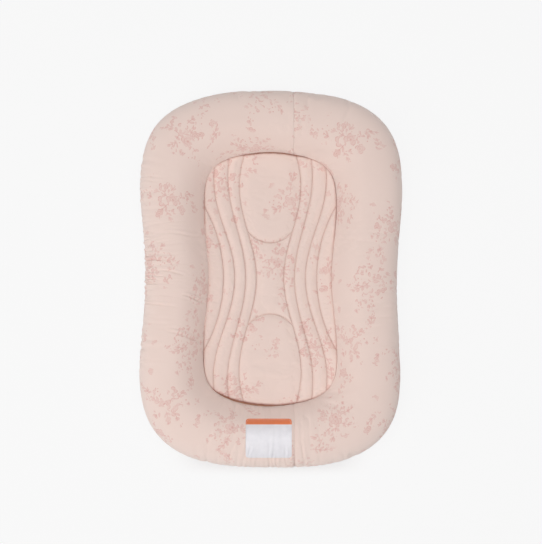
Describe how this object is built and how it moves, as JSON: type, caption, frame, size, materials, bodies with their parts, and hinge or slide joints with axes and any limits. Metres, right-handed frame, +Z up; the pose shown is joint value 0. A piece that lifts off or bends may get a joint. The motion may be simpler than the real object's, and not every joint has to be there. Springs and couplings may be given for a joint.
{
  "type": "infant lounger",
  "caption": "Oblong infant lounger: a stuffed ring bolster in a zipped printed cover, round a channel-quilted centre pad with wave-shaped stitch lines.",
  "frame": {"origin": "centre of the footprint, on the surface the lounger lies on", "axes": "+X across the lounger to its right, +Y along it to the head end, +Z up; the sewn patch is at the foot end, on the -Y side"},
  "size_m": [0.532, 0.762, 0.105],
  "materials": {
    "printed_cotton": "matt",
    "plain_cotton": "matt",
    "liner_cotton": "matt",
    "fibre_filling": "matt",
    "foam": "matt",
    "zip_webbing": "matt",
    "zip_nylon": "satin",
    "zip_metal": "satin",
    "patch_satin": "satin"
  },
  "bodies": {
    "lounger": {"ring_cover_right": "printed_cotton", "ring_cover_left": "printed_cotton", "bolster_liner": "liner_cotton", "bolster_fill": "fibre_filling", "quilt_face": "printed_cotton", "pad_pocket": "liner_cotton", "pad_foam": "foam", "base_panel_left": "plain_cotton", "base_panel_right": "plain_cotton", "zip_tape_left": "zip_webbing", "zip_tape_right": "zip_webbing", "zip_coil_left": "zip_nylon", "zip_coil_right": "zip_nylon", "zip_top_stop_left": "zip_metal", "zip_top_stop_right": "zip_metal", "zip_bottom_stop": "zip_metal", "cloth_patch": "patch_satin"},
    "zip_slider": {"zip_slider": "zip_metal"},
    "zip_pull": {"zip_pull": "zip_metal"}
  },
  "joints": [
    {"name": "zip_run", "type": "slide", "parent": "lounger", "child": "zip_slider", "axis": [0, 1, 0], "range_m": [0, 0.386]},
    {"name": "pull_swing", "type": "hinge", "parent": "zip_slider", "child": "zip_pull", "pos_m": [0, -0.193, 0.00355], "axis": [-1, 0, 0], "range_deg": [0, 180]}
  ]
}
